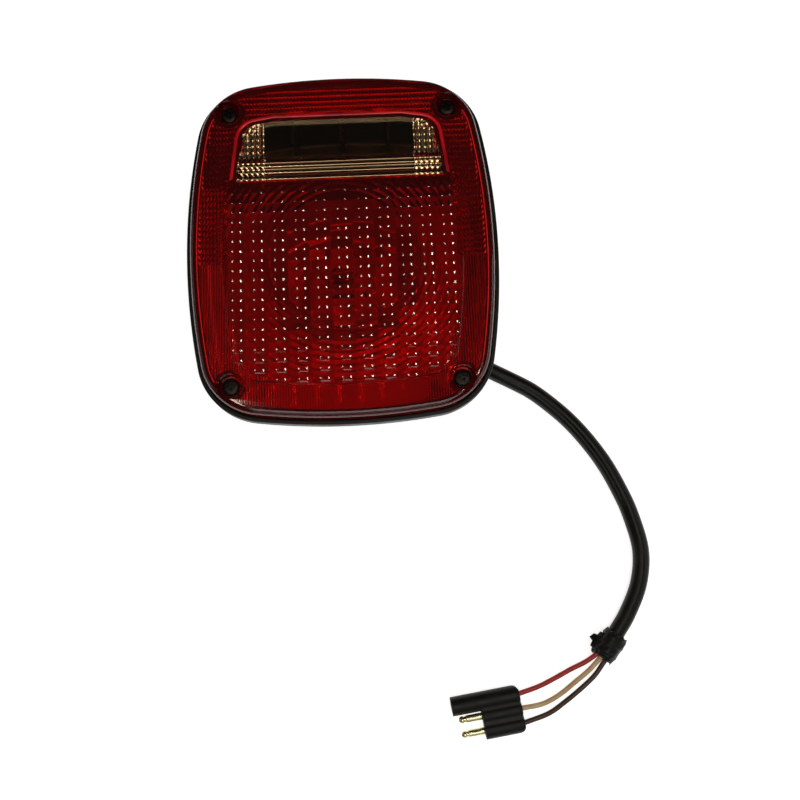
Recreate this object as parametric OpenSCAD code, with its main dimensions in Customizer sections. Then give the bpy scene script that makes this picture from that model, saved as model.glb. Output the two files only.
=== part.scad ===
// Trailer tail light: a black housing on three studs, a red lens with a clear window, a sprung
// bayonet bulb socket with its reflector, and a sheathed lead that ends in a flat three-way connector.
// The lamp lies on its back: +Z comes out of the lens, +Y is the lamp's top, z = 0 is the stud tips.

/* [Lamp] */
// Width across the flange
lamp_w = 146; // [140:1:156]
// Height along the flange
lamp_h = 171; // [165:1:185]
// Height of the flange's top face above the stud tips
flange_z = 64.5; // [62:0.5:70]
// Height of the mounting face above the stud tips
seat_z = 22; // [21:0.5:24]
// Wall of the housing
wall = 2.5; // [2:0.1:3]

/* [Lens] */
// Height of the lens border above the gasket
lens_rise = 8; // [7.5:0.5:10]
// Wall of the lens
lens_wall = 2.8; // [2.4:0.1:3.2]
// Step from the border up to the middle panel
panel_step = 1.2; // [0.8:0.1:2]
// Half width of the clear window at its bottom edge
window_half_w = 48.8; // [44:0.2:50]
// Bottom edge of the clear window
window_low_y = 30.6; // [30:0.2:34]
// Top edge of the clear window
window_top_y = 61.9; // [60:0.1:65.4]

/* [Fasteners] */
// Half spacing of the lens screws across the lamp
screw_x = 52.4; // [50:0.2:53]
// Half spacing of the lens screws along the lamp
screw_y = 66.8; // [64:0.2:67]
// Radius of a lens screw's shank
screw_r = 2.0; // [1.8:0.1:2.1]
// Radius of the recess round a screw head
pocket_r = 5.6; // [5:0.1:5.8]
// Radius of a mounting stud, 1/4 in thread
stud_r = 3.175; // [3:0.005:3.5]
// Bolt circle of the mounting studs
stud_pcd = 88.9; // [86:0.1:90]

/* [Bulb] */
// Middle of the bulb below the lamp's middle
bulb_y = -8; // [-10:0.5:-6]
// Radius of the bulb's globe
globe_r = 13.25; // [12:0.05:13.4]
// Length of the bulb from its contacts to its tip
bulb_len = 50.8; // [48:0.2:52]
// How far the bulb pushes in against its spring
push_travel = 2; // [1.5:0.1:2.2]

/* [Lead] */
// Radius of the black sheath
sheath_r = 4.4; // [4:0.1:4.4]
// Radius of one insulated wire
wire_r = 1.25; // [1:0.05:1.25]
// Spacing of the connector's ways
way_pitch = 6.9; // [6.9:0.1:7.2]

/* [Hidden] */
$fn = 64;

// Outline: bowed sides and ends that meet in round corners
side_bow_r = 320;
end_bow_r = 300;
corner_r = 31;
side_c = [lamp_w / 2 - side_bow_r, 0];
end_c = [0, lamp_h / 2 - end_bow_r];
corner_c = circles_meet(side_c, side_bow_r - corner_r, end_c, end_bow_r - corner_r);
side_angle = atan2(corner_c.y, corner_c.x - side_c.x);
end_angle = atan2(corner_c.x, corner_c.y - end_c.y);
bow_steps = 4;
corner_steps = 9;

// Heights
flange_t = 3;
lip_w = 2;
lip_h = 3.5;
gasket_t = 1.5;
floor_t = 3;
floor_z = seat_z + floor_t;
lens_z0 = flange_z + gasket_t + 0.05;
border_z = flange_z + gasket_t + lens_rise;
panel_z = border_z + panel_step;
window_t = lens_wall;
lens_inset = lip_w + 0.4;
pocket_z = lens_z0 + 3;

// Inside the housing
divider_y = 31;
divider_t = 2;
boss_r = 4.4;
boss_z = 46;
well_r = 17;
well_z = 2.5;
well_wall = 2;
gusset_z = 48;

// Socket and bulb, along the bulb's own axis
exit_angle = -30;
bulb_z = 17;
base_r = 7.5;
shell_r = 8.3;
shell_bore_r = 7.7;
shell_z = 8.5;
shell_top = 33.6;
carrier_z = 14.5;
contact_off = 3;
pin_z = [24.8, 28];
twist = 40;
bracket_t = 0.8;
bracket_z = floor_z + bracket_t;
rivet_off = 22;
reflector_t = 1;
bowl_r = 39;
plate_z = 50;

// Lead: height of its axis in the grommet, and the points of its route
gland_z = 9.5;
gland_s = 13;
nose_s = 36;
sheath_route = [
    [11.26, -14.5, 9.5], [21, -20.12, 9.5], [31, -25.9, 9.5], [43, -32.8, 8.2], [56, -40, 5.6],
    [65, -44.6, 4.8], [74, -49.5, 4.5], [84, -55, 4.5], [94, -61, 4.5], [103.8, -69.2, 4.5],
    [113, -78.5, 4.5], [121.6, -89.6, 4.5], [129, -101.5, 4.5], [134.8, -114, 4.5],
    [139.5, -127, 4.5], [143, -145, 4.5], [140.5, -161.5, 4.5], [133.5, -176, 4.5],
    [126.5, -186, 4.5]
];
tape_r = 6.4;
tape_route = [[126.5, -186, 6.4], [122.5, -191, 6.4], [118, -196.5, 6.4]];
wire_routes = [
    [[116.4, -194.7, 6.2], [110.5, -198.5, 5], [103, -201.9, 3.8], [95, -205.8, 3.2],
        [86.3, -209.4, 3.9], [75.7, -212.4, 4.6]],
    [[118, -196.5, 6.2], [112, -202.5, 4.8], [104.5, -208.2, 3.6], [96.5, -213.8, 3.2],
        [87.8, -217.6, 3.9], [76.6, -219.2, 4.6]],
    [[119.8, -198.2, 6.2], [114.5, -205.1, 4.8], [107.5, -211.2, 3.6], [99, -217.3, 3.2],
        [90.3, -222.3, 3.9], [77.6, -226.1, 4.6]]
];
plug_at = [77.5, -219.1, 4.6];
plug_angle = 8;
plug_len = 20;
lobe_r = 4.3;
shroud_r = 4.6;
shroud_len = 34;
pin_r = 1.75;
sleeve_r = 2.7;

// Where two circles meet, on the side of +x and +y
function circles_meet(a, ra, b, rb) =
    let (d = norm(b - a), k = (d * d + ra * ra - rb * rb) / (2 * d), h = sqrt(ra * ra - k * k),
        u = (b - a) / d)
    a + k * u + h * [-u.y, u.x];

function arc(c, r, from, to, steps) =
    [for (i = [0:steps]) let (a = from + (to - from) * i / steps) c + r * [cos(a), sin(a)]];

// The lamp's outline, drawn in by an inset; the four bows and four corners meet tangentially
function quarter_corner(inset, sx, sy) =
    let (p = arc(corner_c, corner_r - inset, side_angle, 90 - end_angle, corner_steps))
    [for (i = [0:corner_steps]) let (k = sx * sy > 0 ? i : corner_steps - i) [sx * p[k].x, sy * p[k].y]];
function bow(c, r, mid, half) =
    let (p = arc(c, r, mid - half, mid + half, 2 * bow_steps))
    [for (i = [1:2 * bow_steps - 1]) p[i]];
function outline(inset) = concat(
    bow(side_c, side_bow_r - inset, 0, side_angle),
    quarter_corner(inset, 1, 1),
    bow(end_c, end_bow_r - inset, 90, end_angle),
    quarter_corner(inset, -1, 1),
    bow(-side_c, side_bow_r - inset, 180, side_angle),
    quarter_corner(inset, -1, -1),
    bow(-end_c, end_bow_r - inset, 270, end_angle),
    quarter_corner(inset, 1, -1)
);

// Clear window: straight bottom, sloped sides, a bowed top with round corners
window_corner_r = 8.3;
window_corner = [window_half_w - 11.2, window_top_y - 11.1];
window_outline = concat(
    [[-window_half_w, window_low_y], [window_half_w, window_low_y]],
    arc(window_corner, window_corner_r, 7, 75, 6),
    [for (x = [24, 12, 0, -12, -24]) [x, window_top_y - end_bow_r + sqrt(end_bow_r * end_bow_r - x * x)]],
    arc([-window_corner.x, window_corner.y], window_corner_r, 105, 173, 6)
);

function flip(v) = [for (i = [len(v) - 1:-1:0]) v[i]];
function unit(v) = v / norm(v);

// Solid through a stack of rings that all hold the same number of points
module stack(rings) {
    n = len(rings[0]);
    m = len(rings);
    polyhedron(
        points = [for (ring = rings) each ring],
        faces = concat(
            [[for (i = [0:n - 1]) i]],
            [for (k = [0:m - 2], i = [0:n - 1])
                let (j = (i + 1) % n, a = k * n, b = a + n) each [[a + i, b + i, b + j], [a + i, b + j, a + j]]],
            [[for (i = [n - 1:-1:0]) (m - 1) * n + i]]
        )
    );
}

// Solid whose sections are the lamp's outline, each at [inset, height]
module shell(sections) {
    stack([for (s = sections) [for (p = outline(s[0])) [p.x, p.y, s[1]]]]);
}

// Round rod along a route; ref is never along the route
module rod(route, r, sides, ref = [0, 0, 1]) {
    last = len(route) - 1;
    stack([for (i = [0:last])
        let (t = unit(route[min(i + 1, last)] - route[max(i - 1, 0)]),
            u = unit(cross(ref, t)), v = cross(t, u))
        [for (k = [0:sides - 1]) let (a = 360 * k / sides) route[i] + r * (cos(a) * u + sin(a) * v)]]);
}

module at_screws() {
    for (sx = [-1, 1], sy = [-1, 1])
        translate([sx * screw_x, sy * screw_y, 0])
            children();
}

// The bulb's axis, with +X towards the lead's exit
module at_bulb() {
    translate([0, bulb_y, 0])
        rotate([0, 0, exit_angle])
            children();
}

module at_studs() {
    for (a = [30, 150, 270])
        rotate([0, 0, a])
            translate([stud_pcd / 2, 0, 0])
                children();
}

module at_plug() {
    translate(plug_at)
        rotate([0, 0, plug_angle])
            children();
}

// A rod along +X
module rod_x(r, from, to) {
    translate([from, 0, 0])
        rotate([0, 90, 0])
            cylinder(r = r, h = to - from);
}

// Tapered tub with a flange, a lip round the lens, a well for the socket and a wall under the window
module housing() {
    color("#151515")
        difference() {
            union() {
                difference() {
                    union() {
                        shell([[12.5, seat_z + 0.4], [10.6, seat_z + 1.4], [9.6, seat_z + 3.5],
                            [5, flange_z - flange_t + 0.5]]);
                        translate([0, 0, seat_z])
                            linear_extrude(floor_t)
                                polygon(outline(15));
                        translate([0, 0, flange_z - flange_t])
                            linear_extrude(flange_t)
                                polygon(outline(0));
                        translate([0, 0, flange_z])
                            linear_extrude(lip_h)
                                difference() {
                                    polygon(outline(0));
                                    polygon(outline(lip_w));
                                }
                    }
                    shell([[11 + wall, floor_z], [9.6 + wall, floor_z + 2.5], [5 + wall, flange_z + 0.1]]);
                }
                at_screws()
                    translate([0, 0, boss_z])
                        cylinder(r = boss_r, h = flange_z + gasket_t - boss_z);
                chamber_walls();
                at_bulb()
                    translate([0, 0, well_z])
                        cylinder(r = well_r, h = seat_z - well_z + 1);
            }
            at_bulb() {
                translate([0, 0, well_z + well_wall])
                    cylinder(r = well_r - well_wall, h = floor_z);
                translate([0, 0, gland_z])
                    rod_x(5.6, well_r - well_wall - 4, well_r + 4);
                rivet_places()
                    rivet_cuts();
            }
            at_screws()
                translate([0, 0, boss_z + 1])
                    cylinder(r = screw_r + 0.1, h = 30);
            at_studs()
                stud_cut();
        }
}

// Wall between the bulb's chamber and the window's chamber, and gussets behind the window,
// all cut to the tub's slope
module chamber_walls() {
    intersection() {
        union() {
            translate([-70, divider_y - divider_t / 2, floor_z - 1])
                cube([140, divider_t, flange_z - floor_z + 1]);
            for (x = [-24, 0, 24])
                translate([x - 0.8, 62, floor_z - 1])
                    cube([1.6, 20, gusset_z - floor_z + 1]);
        }
        shell([[11, floor_z - 1], [6, flange_z]]);
    }
}

module rivet_places() {
    for (s = [-1, 1])
        translate([0, s * rivet_off, 0])
            children();
}

module rivet_cuts() {
    translate([0, 0, seat_z - 1])
        cylinder(r = 1.6, h = floor_t + 3);
    translate([0, 0, seat_z - 1])
        cylinder(r = 3.5, h = 2.4);
}

module stud_cut() {
    translate([0, 0, seat_z - 1])
        cylinder(r = stud_r + 0.5, h = floor_t + 3);
}

// Soft strip under the lens's edge
module lens_gasket() {
    color("#2a2a2a")
        translate([0, 0, flange_z])
            linear_extrude(gasket_t)
                difference() {
                    polygon(outline(lip_w + 0.3));
                    polygon(outline(5));
                }
}

// Threaded studs with a knurled neck pressed through the floor and a round head inside
module mounting_studs() {
    color("#b9bcc0")
        at_studs() {
            translate([0, 0, 0.8])
                cylinder(r = stud_r, h = seat_z - 0.8);
            cylinder(r1 = stud_r - 0.8, r2 = stud_r, h = 0.8);
            translate([0, 0, seat_z])
                cylinder(r = stud_r + 0.5, h = floor_t);
            translate([0, 0, floor_z])
                cylinder(r = 6.5, h = 2);
        }
}

// Bright bowl round the bulb, with a plate that fills the chamber round it
module reflector() {
    bowl = [[10.2, bracket_z], [26.5, bracket_z], [28.5, bracket_z + 1.6], [32, bracket_z + 9],
        [33.4, bracket_z + 9.4], [37.2, plate_z - 5], [bowl_r, plate_z]];
    inside = [for (p = flip(bowl)) [p.x - (p.y > bracket_z + 0.5 ? reflector_t : 0),
        p.y + (p.y > bracket_z + 0.5 ? 0 : reflector_t)]];
    color("#b8bcc2")
        difference() {
            union() {
                translate([0, 0, plate_z])
                    linear_extrude(reflector_t)
                        polygon(outline(10.4));
                at_bulb() {
                    rotate_extrude()
                        polygon(concat(bowl, inside));
                    translate([0, 0, plate_z])
                        cylinder(r = 46, h = reflector_t + 1);
                }
            }
            at_bulb()
                translate([0, 0, plate_z - 1])
                    cylinder(r = bowl_r - reflector_t, h = 10);
            at_bulb()
                rivet_places()
                    translate([0, 0, floor_z])
                        cylinder(r = 1.6, h = 4);
            translate([-80, divider_y - divider_t / 2 - 0.4, 0])
                cube([160, 80, 80]);
            at_screws()
                translate([0, 0, boss_z])
                    cylinder(r = boss_r + 0.5, h = 20);
        }
}

// Steel plate that carries the socket, with an ear for each rivet and a folded earth tab
module socket_bracket() {
    color("#c9b98a")
        at_bulb()
            difference() {
                union() {
                    translate([0, 0, floor_z])
                        cylinder(r = 18.5, h = bracket_t);
                    translate([-5, -rivet_off, floor_z])
                        cube([10, 2 * rivet_off, bracket_t]);
                    for (s = [-1, 1])
                        translate([0, s * rivet_off, floor_z])
                            cylinder(r = 5, h = bracket_t);
                    translate([-11.4, -3, 18])
                        cube([0.8, 6, floor_z - 18 + 0.4]);
                }
                translate([0, 0, floor_z - 1])
                    cylinder(r = shell_r, h = 4);
                rivet_places()
                    translate([0, 0, floor_z - 1])
                        cylinder(r = 1.6, h = 4);
                for (a = [0, 180])
                    rotate([0, 0, a - 12])
                        translate([0, 0, floor_z - 1])
                            rotate_extrude(angle = twist + 24)
                                translate([shell_r - 0.5, 0])
                                    square([1.6, 4]);
            }
}

module bracket_rivets() {
    color("#c4c6c8")
        at_bulb()
            rivet_places() {
                translate([0, 0, seat_z + 0.3])
                    cylinder(r = 3, h = 1.1);
                translate([0, 0, seat_z + 1.4])
                    cylinder(r = 1.6, h = bracket_z + reflector_t - seat_z - 1.4);
                translate([0, 0, bracket_z + reflector_t])
                    cylinder(r1 = 3, r2 = 1.8, h = 1.3);
            }
}

// Brass shell with a rolled-in foot and two J slots for the bulb's pins
module socket_shell() {
    color("#c8a95a")
        at_bulb()
            difference() {
                rotate([0, 0, 110])
                    rotate_extrude()
                        polygon([[5.2, shell_z], [shell_r, shell_z], [shell_r, shell_top],
                            [shell_bore_r, shell_top], [shell_bore_r, shell_z + 0.7],
                            [5.2, shell_z + 0.7]]);
                for (i = [0, 1])
                    rotate([0, 0, 180 * i])
                        j_slot(pin_z[i]);
            }
}

// Hook at the pin, a way round, and the way up to the rim, seen from the side
module j_slot(z) {
    half = 1.3;
    low = z - push_travel - half - 0.1;
    reach = 8 * sin(twist / 2);
    rotate([0, 0, twist / 2])
        translate([shell_bore_r - 2.5, 0, 0])
            rotate([90, 0, 90])
                linear_extrude(4)
                    polygon([[-reach - half, low], [reach + half, low],
                        [reach + half, shell_top + 1], [reach - half, shell_top + 1],
                        [reach - half, low + 2 * half], [half - reach, low + 2 * half],
                        [half - reach, z + half], [-reach - half, z + half]]);
}

// Coil that pushes the contacts up at the bulb
module contact_spring() {
    turns = 3;
    coil_r = 6.5;
    wire = 0.4;
    low = shell_z + 0.7 + wire;
    high = carrier_z - wire;
    color("#9a9da1")
        at_bulb()
            rod([for (i = [0:turns * 14]) let (a = 360 * i / 14)
                    [coil_r * cos(a), coil_r * sin(a), low + (high - low) * i / (turns * 14)]],
                wire, 6);
}

// Insulating disc that slides in the shell
module contact_carrier() {
    color("#5a3a22")
        at_bulb()
            difference() {
                translate([0, 0, carrier_z])
                    cylinder(r = 7.2, h = 1.9);
                contact_places(carrier_z - 1)
                    cylinder(r = 1.5, h = 4);
            }
}

module contact_places(z) {
    for (s = [-1, 1])
        translate([0, s * contact_off, z])
            children();
}

module contact_buttons() {
    color("#d0a850")
        at_bulb()
            contact_places(carrier_z)
                cylinder(r = 1.5, h = bulb_z - carrier_z);
}

// A contact's lead: down through the shell's foot and out to the sheath
module contact_lead(side) {
    y = side * contact_off;
    at_bulb()
        rod([[0, y, carrier_z], [0, y, 10.2], [1.3, y, 7.4], [4.5, y, 6.2], [9, y, 7.2],
            [gland_s - 0.2, y, gland_z]], wire_r, 8, [0, 1, 0]);
}

module lead_red() {
    color("#b02a20")
        contact_lead(1);
}

module lead_brown() {
    color("#4a2a18")
        contact_lead(-1);
}

// Earth lead: from the bracket's tab, under the shell and out to the sheath
module lead_white() {
    color("#e8dcc0")
        at_bulb()
            rod([[-11, 0, 18], [-11, 0, 10.5], [-9.8, 0, 7.4], [-6.5, 0, 6.2], [4.5, 0, 6.2],
                [9, 0, 7.2], [gland_s - 0.2, 0, gland_z]], wire_r, 8, [0, 1, 0]);
}

// Bulb globe, shoulder and neck as one thin glass shell
module bulb_glass() {
    color("#dfe8ee")
        at_bulb()
            difference() {
                globe(globe_r, 6.9, bulb_z + 16.5);
                globe(globe_r - 0.8, 6.1, bulb_z + 15);
            }
}

module globe(r, neck_r, low) {
    mid = bulb_z + bulb_len - globe_r;
    translate([0, 0, mid])
        sphere(r = r);
    translate([0, 0, bulb_z + 20.5])
        cylinder(r1 = neck_r, r2 = r * cos(22), h = mid - r * sin(22) - bulb_z - 20.5);
    translate([0, 0, low])
        cylinder(r = neck_r, h = bulb_z + 20.6 - low);
}

module bulb_base() {
    color("#c9a24a")
        at_bulb()
            difference() {
                translate([0, 0, bulb_z + 1.4])
                    cylinder(r = base_r, h = 18.2);
                translate([0, 0, bulb_z + 1.8])
                    cylinder(r = base_r - 0.4, h = 20);
                translate([0, 0, bulb_z])
                    cylinder(r = 6, h = 4);
            }
}

module bulb_pins() {
    color("#c9a24a")
        at_bulb()
            for (i = [0, 1])
                rotate([0, 0, 180 * i])
                    translate([0, 0, pin_z[i]])
                        rod_x(1, base_r - 0.5, 8.9);
}

module bulb_insulator() {
    color("#1c1c22")
        at_bulb()
            translate([0, 0, bulb_z + 0.6])
                cylinder(r = 6, h = 2.6);
}

module bulb_contacts() {
    color("#c8c8c4")
        at_bulb()
            contact_places(bulb_z)
                cylinder(r = 1.4, h = 0.6);
}

// Glass foot that closes the neck, with the flat pinch that holds the wires
module bulb_stem() {
    color("#cfdde2")
        at_bulb() {
            translate([0, 0, bulb_z + 16.5])
                cylinder(r = 6, h = 1.5);
            translate([0, 0, bulb_z + 16.5])
                cylinder(r1 = 5, r2 = 3.2, h = 6);
            translate([-2.6, -3.4, bulb_z + 20])
                cube([5.2, 6.8, 5.5]);
        }
}

module at_supports(z) {
    for (x = [-2, 2], y = [-2.6, 2.6])
        translate([x, y, z])
            children();
}

module filament_supports() {
    color("#b9b7ae")
        at_bulb()
            at_supports(bulb_z + 25.5)
                cylinder(r = 0.3, h = 5.8);
}

module filaments() {
    color("#8f8f92")
        at_bulb()
            for (x = [-2, 2])
                translate([x, -2.9, bulb_z + 31.8])
                    rotate([-90, 0, 0])
                        cylinder(r = 0.5, h = 5.8);
}

// Red cap: rounded edge, flat reflex border, raised panel, and a cut-out for the clear window
module lens() {
    color("#a01010")
        difference() {
            union() {
                shell([[lens_inset, lens_z0], [lens_inset, border_z - 4.5],
                    [lens_inset + 0.4, border_z - 2.5], [lens_inset + 1.6, border_z - 0.8],
                    [lens_inset + 3.6, border_z]]);
                panel_block(0, panel_z - border_z + 1, border_z - 1);
            }
            difference() {
                union() {
                    shell([[lens_inset + lens_wall, lens_z0 - 1], [lens_inset + lens_wall, border_z - 5.5],
                        [lens_inset + 5.4, border_z - lens_wall]]);
                    panel_block(lens_wall, panel_step + 1, border_z - lens_wall - 1);
                }
                at_screws()
                    translate([0, 0, lens_z0 - 2])
                        cylinder(r = pocket_r + 1.8, h = 20);
            }
            at_screws() {
                translate([0, 0, pocket_z])
                    cylinder(r = pocket_r, h = 20);
                translate([0, 0, lens_z0 - 1])
                    cylinder(r = screw_r + 0.3, h = 20);
            }
            translate([0, 0, panel_z - 10])
                linear_extrude(20)
                    polygon(window_outline);
        }
}

// The raised panel, which stays inside the screws and follows the lamp's outline
module panel_block(inset, h, z) {
    translate([0, 0, z])
        linear_extrude(h)
            difference() {
                polygon(outline(17 + inset));
                for (sx = [-1, 1], sy = [-1, 1])
                    translate([sx * screw_x, sy * screw_y])
                        circle(r = pocket_r + 4 + inset);
            }
}

// Clear insert, welded edge to edge into the red lens
module clear_window() {
    color("#d8d2b8")
        translate([0, 0, panel_z - window_t])
            linear_extrude(window_t)
                polygon(window_outline);
}

// Pan-head screw with a cross recess
module lens_screw(sx, sy) {
    color("#4b4b4d")
        translate([sx * screw_x, sy * screw_y, 0])
            difference() {
                union() {
                    translate([0, 0, 49])
                        cylinder(r = screw_r, h = pocket_z - 49 + 0.5);
                    translate([0, 0, 47])
                        cylinder(r1 = 0.5, r2 = screw_r, h = 2);
                    translate([0, 0, pocket_z])
                        cylinder(r = 4, h = 1.3);
                    translate([0, 0, pocket_z + 1.3])
                        cylinder(r1 = 4, r2 = 2.4, h = 1);
                }
                for (a = [0, 90])
                    rotate([0, 0, a])
                        translate([-2.1, -0.45, pocket_z + 1])
                            cube([4.2, 0.9, 3]);
            }
}

// Rubber grommet in the well's wall with a tapered nose
module cable_grommet() {
    color("#1b1b1b")
        at_bulb()
            translate([0, 0, gland_z])
                difference() {
                    union() {
                        rod_x(5.5, gland_s + 0.6, well_r + 1);
                        rod_x(6.8, well_r + 0.3, well_r + 2.3);
                        translate([well_r + 2.3, 0, 0])
                            rotate([0, 90, 0])
                                cylinder(r1 = 6, r2 = 5.1, h = nose_s - well_r - 2.3);
                    }
                    rod_x(sheath_r, 0, nose_s + 1);
                }
}

module cable_sheath() {
    color("#181818")
        rod(sheath_route, sheath_r, 12);
}

// Tape bound round the end of the sheath and the three wires
module tape_wrap() {
    color("#101010")
        rod(tape_route, tape_r, 12);
}

module wire_red() {
    color("#c03026")
        rod(wire_routes[0], wire_r, 8);
}

module wire_white() {
    color("#e8d2a0")
        rod(wire_routes[1], wire_r, 8);
}

module wire_brown() {
    color("#3e2416")
        rod(wire_routes[2], wire_r, 8);
}

// Moulded rubber body: three joined lobes, one of them carried on as the shroud of the socket
module connector_body() {
    color("#121212")
        at_plug()
            difference() {
                intersection() {
                    union() {
                        for (y = [-way_pitch, 0])
                            translate([0, y, 0])
                                rod_x(lobe_r, -plug_len, 0);
                        translate([0, way_pitch, 0])
                            rod_x(shroud_r, -shroud_len, 0);
                        translate([-plug_len, -way_pitch, -lobe_r + 0.7])
                            cube([plug_len, 2 * way_pitch, 2 * lobe_r - 1.4]);
                    }
                    plug_plan(way_pitch + shroud_r, 3.5);
                }
                translate([0, way_pitch, 0])
                    rod_x(sleeve_r, -shroud_len - 1, -6);
                for (y = [-way_pitch, 0])
                    translate([0, y, 0])
                        rod_x(pin_r - 0.25, -plug_len - 1, -8);
            }
}

// Block with a rounded corner on each side of the wire end
module plug_plan(half, r) {
    translate([0, 0, -shroud_r - 1])
        linear_extrude(2 * shroud_r + 2) {
            translate([-shroud_len - 1, -half])
                square([shroud_len + 1 - r, 2 * half]);
            translate([-shroud_len - 1, -half + r])
                square([shroud_len + 1, 2 * (half - r)]);
            for (s = [-1, 1])
                translate([-r, s * (half - r)])
                    circle(r = r);
        }
}

// Bullet pins with a snap groove and a tapered tip
module connector_pins() {
    color("#cfc9a0")
        at_plug()
            for (y = [-way_pitch, 0])
                translate([-8, y, 0])
                    rotate([0, -90, 0])
                        bullet();
}

module bullet() {
    root = plug_len - 8;
    cylinder(r = pin_r - 0.25, h = root);
    translate([0, 0, root])
        cylinder(r = pin_r, h = 8);
    translate([0, 0, root + 8])
        cylinder(r = pin_r - 0.4, h = 1.2);
    translate([0, 0, root + 9.2])
        cylinder(r1 = pin_r, r2 = pin_r - 0.8, h = 2.4);
}

// Sleeve that takes the mating pin
module connector_sleeve() {
    color("#cfc9a0")
        at_plug()
            translate([-6, way_pitch, 0])
                rotate([0, -90, 0])
                    difference() {
                        cylinder(r = sleeve_r, h = 24);
                        translate([0, 0, 2])
                            cylinder(r = pin_r + 0.1, h = 30);
                    }
}

housing();
lens_gasket();
mounting_studs();
reflector();
socket_bracket();
bracket_rivets();
socket_shell();
contact_spring();
contact_carrier();
contact_buttons();
lead_red();
lead_brown();
lead_white();
bulb_glass();
bulb_base();
bulb_pins();
bulb_insulator();
bulb_contacts();
bulb_stem();
filament_supports();
filaments();
lens();
clear_window();
lens_screw(-1, 1);  // lens_screw_1
lens_screw(1, 1);  // lens_screw_2
lens_screw(-1, -1);  // lens_screw_3
lens_screw(1, -1);  // lens_screw_4
cable_grommet();
cable_sheath();
tape_wrap();
wire_red();
wire_white();
wire_brown();
connector_body();
connector_pins();
connector_sleeve();
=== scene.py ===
"""Trailer tail light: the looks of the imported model, in metres, in the model's own frame.

The lamp lies on its back with its lens up (+Z) and its top towards +Y. Sizes that the part's source
gives in millimetres are given here in millimetres too, times MM.
"""
import math

import bmesh
import bpy
from mathutils import Matrix, Vector


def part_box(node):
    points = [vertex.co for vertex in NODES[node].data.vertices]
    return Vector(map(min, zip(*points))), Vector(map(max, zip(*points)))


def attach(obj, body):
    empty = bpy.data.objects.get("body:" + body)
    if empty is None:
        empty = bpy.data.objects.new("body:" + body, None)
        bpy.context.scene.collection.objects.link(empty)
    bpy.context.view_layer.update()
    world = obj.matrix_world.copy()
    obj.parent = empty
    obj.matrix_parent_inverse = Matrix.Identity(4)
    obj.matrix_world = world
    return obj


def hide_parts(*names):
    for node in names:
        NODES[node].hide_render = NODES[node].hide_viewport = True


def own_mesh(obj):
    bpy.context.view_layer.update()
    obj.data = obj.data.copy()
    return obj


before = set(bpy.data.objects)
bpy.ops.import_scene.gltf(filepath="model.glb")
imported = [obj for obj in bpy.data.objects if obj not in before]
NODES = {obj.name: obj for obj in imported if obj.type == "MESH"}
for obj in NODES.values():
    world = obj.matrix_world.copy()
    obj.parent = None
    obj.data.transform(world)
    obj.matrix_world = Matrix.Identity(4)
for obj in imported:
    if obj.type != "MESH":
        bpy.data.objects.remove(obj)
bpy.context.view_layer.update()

MM = 0.001
scene = bpy.context.scene


# ---------------------------------------------------------------- camera

def look(eye, along, up):
    """World matrix of something that stands at eye and looks along a direction."""
    back = -Vector(along).normalized()
    right = Vector(up).cross(back).normalized()
    matrix = Matrix((right, back.cross(right), back)).transposed().to_4x4()
    matrix.translation = Vector(eye)
    return matrix


CAMERA_AT = Vector((0.01868, -0.15656, 0.46677))
CAMERA_ALONG = Vector((0.01217, 0.19928, -0.97987))
CAMERA_UP = Vector((0.04161, 0.97899, 0.19962))

camera_data = bpy.data.cameras.new("camera")
camera_data.sensor_width = 36
camera_data.lens = 40.5
camera_data.clip_start = 0.01
camera = bpy.data.objects.new("camera", camera_data)
camera.matrix_world = look(CAMERA_AT, CAMERA_ALONG, CAMERA_UP)
scene.collection.objects.link(camera)
scene.camera = camera


# ---------------------------------------------------------------- mesh tools

def make(name, verts, faces):
    """A mesh object whose doubled points are merged and whose faces look outwards."""
    mesh = bpy.data.meshes.new(name)
    mesh.from_pydata([tuple(v) for v in verts], [], faces)
    obj = bpy.data.objects.new(name, mesh)
    scene.collection.objects.link(obj)
    clean(obj)
    return obj


def clean(obj, flat_angle=0):
    """Merge doubled points, drop slivers, turn faces outwards, and flatten near-flat areas if asked."""
    bm = bmesh.new()
    bm.from_mesh(obj.data)
    bmesh.ops.remove_doubles(bm, verts=bm.verts, dist=1e-6)
    bmesh.ops.dissolve_degenerate(bm, edges=bm.edges, dist=1e-6)
    if flat_angle:
        bmesh.ops.dissolve_limit(bm, angle_limit=math.radians(flat_angle), verts=bm.verts, edges=bm.edges)
    bmesh.ops.recalc_face_normals(bm, faces=bm.faces)
    bm.to_mesh(obj.data)
    bm.free()


def bake_modifiers(obj):
    """Make the modifiers' result the object's own mesh."""
    graph = bpy.context.evaluated_depsgraph_get()
    mesh = bpy.data.meshes.new_from_object(obj.evaluated_get(graph))
    obj.modifiers.clear()
    obj.data = mesh
    return obj


def drop_thin_walls(obj):
    """Delete pairs of faces on the same corners, which are walls of no thickness that a boolean left."""
    bm = bmesh.new()
    bm.from_mesh(obj.data)
    alike = {}
    for face in bm.faces:
        alike.setdefault(frozenset(face.verts), []).append(face)
    walls = [face for pair in alike.values() if len(pair) == 2 for face in pair]
    bmesh.ops.delete(bm, geom=walls, context="FACES")
    bm.to_mesh(obj.data)
    bm.free()
    return obj


def carve(obj, tool, operation="DIFFERENCE"):
    """obj minus, plus or within tool, which is used up."""
    step = obj.modifiers.new("carve", "BOOLEAN")
    step.operation = operation
    step.solver = "MANIFOLD"
    step.object = tool
    bake_modifiers(obj)
    bpy.data.objects.remove(tool)
    return obj


def join(obj, tool):
    return carve(obj, tool, "UNION")


def within(obj, tool):
    return carve(obj, tool, "INTERSECT")


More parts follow.
